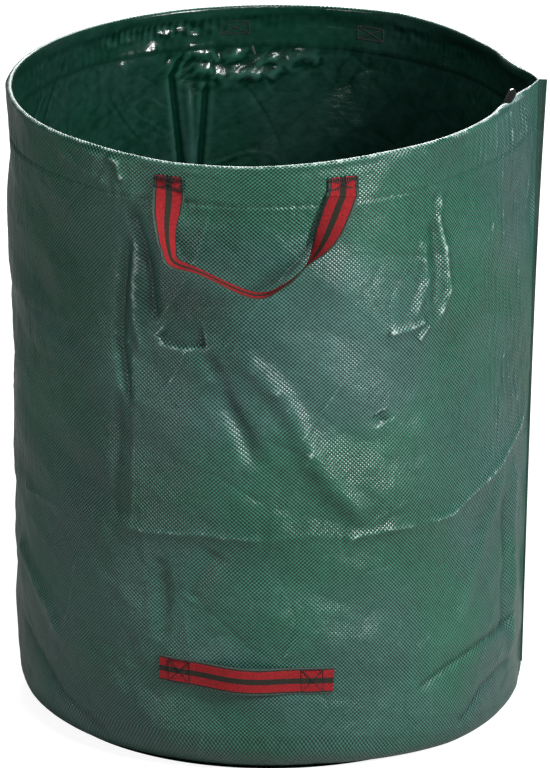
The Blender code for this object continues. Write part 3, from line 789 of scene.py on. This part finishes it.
# The base: a round panel of the same sheet, lying on the floor with the wall's foot lapped over it and sewn.
BASE_LEVEL = 0.0006
BASE_RIPPLE = 0.0011
BASE_FOLDS = (41, 6, 60, 170, True)
BASE_CALM = (0.262, 0.03)
base_points = []
base_chart = []
base_turns = np.linspace(0, math.tau, 193)
for radius in np.linspace(0.0005, BASE_RADIUS - BASE_CORNER, 60):
    x = radius * np.cos(base_turns)
    y = radius * np.sin(base_turns)
    ripple = BASE_RIPPLE * (1 + waves(x * 1000, y * 1000, *BASE_FOLDS) * 0.6)
    inwards = smooth_step((BASE_CALM[0] - radius) / BASE_CALM[1])
    base_points.append(np.stack([x, y, BASE_LEVEL + ripple * inwards], axis=-1))
    base_chart.append(np.stack([x, y], axis=-1))
base = grid_piece("base", np.array(base_points), np.array(base_chart), inside_film_and_shade, flip=True)
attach(base, "bag")
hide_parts("base_panel")


# The thread: lockstitches about 4 mm long, pulled into the sheet. One row holds the hem, one the base seam
# and one the side seam, all in green.
def grained(name, scale, detail, dark, pale, **sockets):
    """A material whose colour wanders between two, and the noise that it wanders by."""
    made, shader, shop = finish_named(name, **sockets)
    grain = shop.noise(shop.node("ShaderNodeTexCoord", output="Object"), scale, detail)
    shop.feed(shader.inputs["Base Color"], shop.tint(grain, (*dark, 1.0), (*pale, 1.0)))
    return made, shader, shop, grain


def thread_finish(name, colour, gloss):
    dark = [value * 0.55 for value in colour]
    made, shader, shop, twist = grained(name, 900.0, 2.0, dark, colour, Roughness=gloss)
    shop.feed(shader.inputs["Normal"], shop.relief(twist * 0.0002))
    return made


green_thread = thread_finish("green_thread", (0.014, 0.060, 0.043), 0.8)
black_thread = thread_finish("black_thread", (0.006, 0.006, 0.007), 0.7)

THREAD = 0.0009
STITCH_PITCH = 0.0042
STITCH_SIDES = 6
STITCH_STATIONS = ((0.0, 0.25, -0.5), (0.14, 0.8, 0.0), (0.5, 1.0, 0.35), (0.86, 0.8, 0.0), (1.0, 0.25, -0.5))


def stitches(name, runs, thick, look):
    """Short rounded stitches, each from one point to the next, standing out of the surface at the middle."""
    points = []
    faces = []
    for first, second, out in runs:
        first = Vector(first)
        second = Vector(second)
        out = Vector(out).normalized()
        way = (second - first).normalized()
        aside = way.cross(out).normalized()
        start = len(points)
        for share, girth, lift in STITCH_STATIONS:
            centre = first.lerp(second, share) + out * thick * lift
            for step in range(STITCH_SIDES):
                turn = math.tau * step / STITCH_SIDES
                points.append(centre + (aside * math.cos(turn) + out * math.sin(turn)) * thick / 2 * girth)
        for ring in range(len(STITCH_STATIONS) - 1):
            for step in range(STITCH_SIDES):
                a = start + ring * STITCH_SIDES + step
                b = start + ring * STITCH_SIDES + (step + 1) % STITCH_SIDES
                faces.append((a, b, b + STITCH_SIDES, a + STITCH_SIDES))
        faces.append(tuple(start + step for step in reversed(range(STITCH_SIDES))))
        last = len(points) - STITCH_SIDES
        faces.append(tuple(last + step for step in range(STITCH_SIDES)))
    mesh = bpy.data.meshes.new(name)
    mesh.from_pydata([tuple(point) for point in points], [], faces)
    mesh.materials.append(look)
    mesh.shade_smooth()
    made = bpy.data.objects.new(name, mesh)
    scene.collection.objects.link(made)
    return made


SEAM_CLEAR = 0.006
RING_STITCH = np.array([0.12, 0.88])
FIN_STITCH_OUT = 0.35
FIN_STITCH_END = 0.0004


def ring_runs(height, inset, level, radius, outwards):
    """A row of stitches round the bag, clear of the seam: their ends and the way they face."""
    number = int((math.tau - 2 * SEAM_CLEAR) * radius / STITCH_PITCH)
    runs = []
    for step in range(number):
        turns = SEAM_CLEAR + (math.tau - 2 * SEAM_CLEAR) * (step + RING_STITCH) / number
        levels = np.full(2, level)
        sunk = crumple(turns, levels) if outwards else -corner_radius(turns)
        ends = on_wall(turns, height, inset - sunk, level)
        middle = turns.mean()
        out = (math.cos(middle), math.sin(middle), 0) if outwards else (0, 0, 1)
        runs.append((ends[0], ends[1], out))
    return runs


def fin_runs(low, high, plies, wave):
    """A row of stitches up the fin, a third of the way out to its edge."""
    levels = np.arange(low, high, STITCH_PITCH)
    runs = []
    for bottom, top in zip(levels, levels[1:]):
        ends = []
        for level in (bottom + FIN_STITCH_END, top - FIN_STITCH_END):
            out = fin_root(math.tau - EDGE_TURN, level) + fin_width(level) * FIN_STITCH_OUT
            bend = fin_bend(wave, level) * FIN_STITCH_OUT
            ends.append((out, -(SEAM_GAP + plies * SHEET_THICKNESS) + bend, level))
        runs.append((*ends, (0, -1, 0)))
    return runs


STITCH_LEVEL = 0.7465
hem_row = ring_runs(STITCH_LEVEL, -0.0001, STITCH_LEVEL, 0.345, True)
base_row = ring_runs(LAP_LEVEL, 0.006, LAP_LEVEL + 0.0011, 0.27, False)
for name, runs, body, node in (
    ("hem_thread", hem_row, "rim", "hem_stitches"),
    ("base_thread", base_row, "bag", "base_seam_stitches"),
    ("side_thread", fin_runs(0.042, 0.741, 1, FIN_WAVE), "bag", "side_seam_stitches"),
    ("rim_thread", fin_runs(0.746, 0.798, 2, 0.0), "rim", "rim_seam_stitches"),
):
    thread = stitches(name, runs, THREAD, green_thread)
    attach(thread, body)
    if node == "side_seam_stitches":
        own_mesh(thread)
    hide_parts(node)


# The webbing: a 38 mm strap of ribbed weave, with two red stripes on dark green and paler green edges. The
# tipping handle's is a little narrower.
WEBBING_WIDTH = 0.038
LOWER_WIDTH = 0.035
WEBBING_THICKNESS = 0.0015
STRIPES = (
    (0.000, (0.060, 0.105, 0.085)),
    (0.060, (0.016, 0.026, 0.020)),
    (0.110, (0.360, 0.010, 0.016)),
    (0.395, (0.020, 0.022, 0.014)),
    (0.605, (0.360, 0.010, 0.016)),
    (0.890, (0.016, 0.026, 0.020)),
    (0.940, (0.060, 0.105, 0.085)),
)
webbing, webbing_shader, shop = finish_named("striped_webbing", Roughness=0.8, Specular_IOR_Level=0.2)
RIB_PITCH = 0.0016
HERRINGBONE = 0.0022
CORD_PITCH = 0.0011
SLANT = 1900.0
strap_cloth = shop.node("ShaderNodeUVMap", {"uv_map": "cloth"})
strap_across = shop.node("ShaderNodeSeparateXYZ", {}, {"Vector": strap_cloth})
strap_along = Tone(shop, strap_across.socket.node.outputs[1])
wobble = shop.noise(strap_cloth, 260.0, 2.0)
share = strap_across / WEBBING_WIDTH + (wobble - 0.5) * 0.03
stripes = shop.node("ShaderNodeValToRGB", {"stops": STRIPES}, {"Fac": share})
stripes.socket.node.color_ramp.interpolation = "CONSTANT"
slant = shop.worked("PINGPONG", strap_across, HERRINGBONE) * SLANT
rib = shop.worked("SINE", strap_along * (math.tau / RIB_PITCH) + slant)
cords = shop.worked("SINE", strap_across * (math.tau / CORD_PITCH))
# The ribs' dark rows are painted shade in the grooves between them; the wobble is random tone.
shade = shop.tint(rib * 0.30 + (wobble - 0.5) * 0.9 + 0.40, stripes, (0.02, 0.010, 0.009, 1.0))
shop.feed(webbing_shader.inputs["Base Color"], shop.tint(0.85, stripes, shade))
strap_height = rib * 0.00022 + cords * 0.00010 + (wobble - 0.5) * 0.0006
shop.feed(webbing_shader.inputs["Normal"], shop.relief(strap_height))


STRAP_SIDES = 12
SOFT_EDGE = 0.06


def strap(name, spine, widths, faces_out, wide=WEBBING_WIDTH):
    """A flat strap with soft edges along a line of points, given the way across and the way it faces."""
    half = wide / 2
    outline = []
    for step in range(STRAP_SIDES + 1):
        share = step / STRAP_SIDES * 2 - 1
        rounded = math.sqrt(max(0.0, 1 - max(0.0, (abs(share) - 1 + SOFT_EDGE) / SOFT_EDGE) ** 2))
        outline.append((share * half, WEBBING_THICKNESS / 2 * rounded))
    outline = outline + [(across, -out) for across, out in reversed(outline[1:-1])]
    outline.append(outline[0])
    points = []
    charts = []
    gone = 0.0
    for place, centre in enumerate(spine):
        if place:
            gone += np.linalg.norm(centre - spine[place - 1])
        points.append([centre + widths[place] * across + faces_out[place] * out for across, out in outline])
        charts.append([((half + across) * WEBBING_WIDTH / wide, gone) for across, _ in outline])
    return grid_piece(name, np.array(points), np.array(charts), webbing)


# The two carrying handles: webbing sewn flat on the hem at both ends, hanging outwards in a loose loop that
# turns level where a hand holds it. A loop's line is along the span, down and out, as shares, then its turn.
HANDLE_DROP = 0.110
HANDLE_REACH = 0.046
HINGE_LEVEL = 0.757
TAB_TOP_LEVEL = 0.7785
LEG_SQUARE_FROM = 0.35
LOOP_STEPS = 8
HANDLE_LINE = (
    (-1.00, 0.00, 0.00, 0),
    (-1.02, 0.20, 0.07, 25),
    (-1.03, 0.36, 0.16, 48),
    (-1.01, 0.55, 0.32, 66),
    (-0.93, 0.70, 0.56, 85),
    (-0.62, 0.78, 0.77, 96),
    (0.02, 1.00, 1.00, 94),
    (0.39, 0.87, 0.88, 99),
    (0.62, 0.68, 0.66, 96),
    (0.75, 0.54, 0.48, 68),
    (0.86, 0.34, 0.26, 32),
    (1.00, 0.00, 0.00, 0),
)


def flowing(rows, steps):
    """The rows with smooth rows between them, by Catmull and Rom's rule."""
    rows = np.array(rows, float)
    padded = np.vstack([rows[:1], rows, rows[-1:]])
    made = []
    for a, b, c, d in zip(padded, padded[1:], padded[2:], padded[3:]):
        for step in range(steps):
            t = step / steps
            bowed = (2 * a - 5 * b + 4 * c - d) * t * t + (3 * b - a - 3 * c + d) * t**3
            made.append(0.5 * (2 * b + (c - a) * t + bowed))
    made.append(rows[-1])
    return made


def unit(vector):
    return vector / np.linalg.norm(vector)


def carrying_handle(name, body, hinge, angle, ends, line):
    """The free loop: its two ends lie on the hinge's line, straight out from where they are sewn."""
    outwards = np.array([math.cos(angle), math.sin(angle), 0])
    along = np.array([-math.sin(angle), math.cos(angle), 0])
    places = [float((on_wall(end, HINGE_LEVEL, 0.0) - hinge) @ along) for end in ends]
    middle = hinge + along * (places[0] + places[1]) / 2
    spacing = places[1] - places[0]
    rows = flowing(line, LOOP_STEPS)
    spine = []
    for span, down, reach, _ in rows:
        hanging = np.array([0, 0, -down * HANDLE_DROP])
        spine.append(middle + along * span * spacing / 2 + outwards * reach * HANDLE_REACH + hanging)
    widths = []
    faces_out = []
    for place, (_, down, _, turned) in enumerate(rows):
        leg = -1 if place < len(spine) / 2 else 1
        if place in (0, len(spine) - 1):
            way = np.array([0, 0, leg])
        else:
            way = unit(spine[place + 1] - spine[place - 1])
        square = min(1.0, down / LEG_SQUARE_FROM)
        in_wall = unit((-along * leg) * (1 - square) + unit(np.cross(outwards, way)) * square)
        twist = math.radians(turned)
        width = in_wall * math.cos(twist) - outwards * math.sin(twist)
        width = unit(width - way * (width @ way) * square)
        widths.append(width)
        faces_out.append(unit(np.cross(way, width)))
    piece = strap(name, spine, widths, faces_out)
    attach(piece, body)
    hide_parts(body)


TAB_OFF = 0.0006
TAB_LEAVES = 0.007


def sewn_end(name, node, angle, hinge, hinge_angle):
    """The strap's end, flat on the hem, whose foot leaves the hem for the line on which the loop swings."""
    outwards = np.array([math.cos(hinge_angle), math.sin(hinge_angle), 0])
    beside = on_wall(np.array([angle - 0.01, angle + 0.01]), np.full(2, HINGE_LEVEL), 0.0)
    across = unit(beside[1] - beside[0])
    square = np.array([-math.sin(hinge_angle), math.cos(hinge_angle), 0])
    points = []
    widths = []
    for level in np.linspace(TAB_TOP_LEVEL, HINGE_LEVEL, 15):
        centre = on_wall(angle, level, -TAB_OFF - WEBBING_THICKNESS / 2)
        leaving = float(smooth_step((HINGE_LEVEL + TAB_LEAVES - level) / TAB_LEAVES))
        points.append(centre + outwards * float((hinge - centre) @ outwards) * leaving)
        widths.append(unit(across * (1 - leaving) + square * leaving))
    faces_out = []
    for place, width in enumerate(widths):
        way = unit(points[min(place + 1, len(points) - 1)] - points[max(place - 1, 0)])
        faces_out.append(unit(np.cross(way, width)))
    piece = strap(name, points, widths, faces_out)
    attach(piece, "rim")
    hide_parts(node)


BAR_PITCH = 0.0015
BOX_STITCH = 0.0028


def box_runs(angle, level, wide, tall, off, outwards=1, slope=0.0, bars=0):
    """A sewn box with a cross, as runs of stitches on the strap. Its top and foot may be sewn over again."""
    x = wide / 2
    z = tall / 2
    corners = [(-x, z), (x, z), (x, -z), (-x, -z)]
    lines = list(zip(corners, corners[1:] + corners[:1])) + list(zip(corners[:2], corners[2:]))
    for bar in range(1, bars + 1):
        for end in (1, -1):
            up = end * (z - BAR_PITCH * bar)
            lines.append(((-x, up), (x, up)))
    runs = []
    radius = float(rim_radius(angle))
    out = (outwards * math.cos(angle), outwards * math.sin(angle), 0)
    for (x0, z0), (x1, z1) in lines:
        number = max(3, int(math.hypot(x1 - x0, z1 - z0) / BOX_STITCH))
        for step in range(number):
            ends = []
            for share in ((step + 0.06) / number, (step + 0.94) / number):
                across = x0 + (x1 - x0) * share
                up = z0 + (z1 - z0) * share
                ends.append(on_wall(angle + across / radius, level + up + across * slope, -off))
            runs.append((*ends, out))
    return runs


# Each handle's place on the hem: its hinge's middle and the way that it faces, and where its ends are sewn.
HINGES = (
    ("front", (-0.008989, -0.339926, HINGE_LEVEL), -90, (-105.5, -71.0)),
    ("back", (0.015077, 0.344159, HINGE_LEVEL), 86, (69.2, 98.8)),
)
BOX_WIDE = 0.037
BOX_TALL = 0.0165
BOX_LEVEL = 0.7688
BOX_THREAD = 0.0019
OUTER_BOX_OFF = 0.0007 + WEBBING_THICKNESS
INNER_BOX_OFF = -HEM_PLY_INSET - 0.0004
BOX_SIDES = (("outer", OUTER_BOX_OFF, 1, 2), ("inner", INNER_BOX_OFF, -1, 0))
for place, hinge, angle, sewn_at in HINGES:
    hinge = np.array(hinge)
    angle = math.radians(angle)
    tab_angles = [math.radians(sewn) for sewn in sewn_at]
    carrying_handle(f"{place}_loop", f"{place}_handle", hinge, angle, tab_angles, HANDLE_LINE)
    for side, tab_angle in zip(("left", "right"), tab_angles):
        sewn_end(f"{place}_{side}_sewn_end", f"{place}_handle_{side}_end", tab_angle, hinge, angle)
        for ply, off, facing, bars in BOX_SIDES:
            runs = box_runs(tab_angle, BOX_LEVEL, BOX_WIDE, BOX_TALL, off, facing, bars=bars)
            box = stitches(f"{place}_{side}_{ply}_box", runs, BOX_THREAD, black_thread)
            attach(box, "rim")
            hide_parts(f"{place}_{side}_box_stitches")


# The tipping handle: a strap near the foot, sewn flat at both ends and a little slack between them.
LOWER_LEVEL = 0.1355
LOWER_SLOPE = -0.045
LOWER_LENGTH = 0.216
LOWER_ANGLE = math.radians(-92.1)
LOWER_SLACK = 0.010
LOWER_BOX = 0.029
LOWER_TAIL = 0.012
LOWER_RADIUS = 0.3216
LOWER_THREAD = 0.0015
LOWER_OFF = 0.0003
LOWER_BOX_OFF = 0.0004 + WEBBING_THICKNESS
BOX_MARGIN = 0.003
lower_points = []
lower_widths = []
lower_faces = []
for share in np.linspace(-1, 1, 61):
    across = share * LOWER_LENGTH / 2
    flat_from = LOWER_LENGTH / 2 - LOWER_TAIL - LOWER_BOX
    slack = LOWER_SLACK * 0.5 * (1 + math.cos(math.pi * min(1.0, abs(across) / flat_from)))
    turn = LOWER_ANGLE + across / LOWER_RADIUS
    level = LOWER_LEVEL + across * LOWER_SLOPE
    lower_points.append(on_wall(turn, level, -LOWER_OFF - WEBBING_THICKNESS / 2 - slack))
    lower_widths.append(unit(np.array([math.sin(turn) * LOWER_SLOPE, -math.cos(turn) * LOWER_SLOPE, 1])))
    lower_faces.append(np.array([math.cos(turn), math.sin(turn), 0]))
lower_strap = strap("lower_strap", lower_points, lower_widths, lower_faces, LOWER_WIDTH)
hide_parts("lower_handle")
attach(lower_strap, "bag")
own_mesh(lower_strap)
for side, turn in (("left", -1), ("right", 1)):
    box_across = turn * (LOWER_LENGTH / 2 - LOWER_TAIL - LOWER_BOX / 2)
    box_angle = LOWER_ANGLE + box_across / LOWER_RADIUS
    box_level = LOWER_LEVEL + box_across * LOWER_SLOPE
    tall = LOWER_WIDTH - 2 * BOX_MARGIN
    runs = box_runs(box_angle, box_level, LOWER_BOX, tall, LOWER_BOX_OFF, slope=LOWER_SLOPE)
    box = stitches(f"lower_{side}_box", runs, LOWER_THREAD, black_thread)
    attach(box, "bag")
    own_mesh(box)
    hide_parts(f"lower_{side}_box_stitches")


# The hoop: a springy plastic rod in the fold, open at the seam, with a glossy black cap on each end. Its
# front end springs up out of the opening.
HOOP_RADIUS = 0.003
HOOP_END_RISE = 0.003
HOOP_END_SPAN = 0.081
HOOP_SIDES = 12
HOOP_IN_CAP = 0.006
hoop_start = (CAP_FROM_SEAM + CAP_LENGTH - HOOP_IN_CAP) / RIM_RADIUS
hoop_turns = np.linspace(hoop_start, math.tau - hoop_start, 420)
to_front = (math.tau - hoop_turns) * RIM_RADIUS - CAP_FROM_SEAM
hoop_rise = HOOP_END_RISE * np.clip(1 - to_front / HOOP_END_SPAN, 0, 1) ** 2
hoop_inset = np.maximum(fold_radius(hoop_turns), SLIM_FOLD)
hoop_middle = on_wall(hoop_turns, BAG_HEIGHT - hoop_inset, hoop_inset + hoop_rise)
hoop_middle[:, 2] += hoop_rise + rim_rise(hoop_turns)
hoop_rings = []
hoop_chart = []
for step in range(HOOP_SIDES + 1):
    turn = math.tau * step / HOOP_SIDES
    side = np.stack([np.cos(hoop_turns), np.sin(hoop_turns), 0 * hoop_turns], axis=-1) * math.cos(turn)
    side[:, 2] += math.sin(turn)
    hoop_rings.append(hoop_middle + side * HOOP_RADIUS)
    girth = np.full(hoop_turns.shape, turn * HOOP_RADIUS)
    hoop_chart.append(np.stack([hoop_turns * RIM_RADIUS, girth], axis=-1))
rod, rod_shader, rod_shop, grain = grained("hoop_rod", 300.0, 3.0, (0.025, 0.025, 0.027), (0.05, 0.05, 0.053))
rod_shop.feed(rod_shader.inputs["Roughness"], grain * 0.2 + 0.4)
hoop = grid_piece("hoop_rod", np.array(hoop_rings), np.array(hoop_chart), rod)
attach(hoop, "rim")
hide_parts("rim_hoop")
cap_darks = ((0.003, 0.003, 0.003), (0.008, 0.008, 0.008))
cap, cap_shader, cap_shop, grain = grained("hoop_cap", 420.0, 2.0, *cap_darks, Coat_Weight=1.0)
cap_shop.feed(cap_shader.inputs["Roughness"], grain * 0.06 + 0.04)
CAP_RADIUS = 0.0054
CAP_SIDES = 24
CAP_LEAN = 0.4
CAP_SHAPE = ((0, 0.7), (0.02, 1), (0.3, 1), (0.6, 1), (0.82, 1), (0.92, 0.86), (0.98, 0.55), (1, 0.02))
for name, node, mouth, tip, sprung in (
    ("front_cap", "hoop_cap_front", -17.5, -10.6, 0.0105),
    ("back_cap", "hoop_cap_back", 17.8, 12.3, 0.0),
):
    cap_rings = []
    cap_chart = []
    for share, girth in CAP_SHAPE:
        turn = math.radians(mouth + (tip - mouth) * share) % math.tau
        centre = on_wall(turn, BAG_HEIGHT - FOLD_RADIUS, FOLD_RADIUS + CAP_LEAN * sprung * share)
        centre[2] += float(rim_rise(turn)) + sprung * share
        outwards = np.array([math.cos(turn), math.sin(turn), 0])
        ring = []
        chart = []
        for step in range(CAP_SIDES + 1):
            spin = math.tau * step / CAP_SIDES
            side = outwards * math.cos(spin) + np.array([0, 0, math.sin(spin)])
            ring.append(centre + side * CAP_RADIUS * girth)
            chart.append((spin * CAP_RADIUS, share * CAP_LENGTH))
        cap_rings.append(ring)
        cap_chart.append(chart)
    piece = grid_piece(name, np.array(cap_rings), np.array(cap_chart), cap, flip=mouth < 0)
    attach(piece, "rim")
    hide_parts(node)
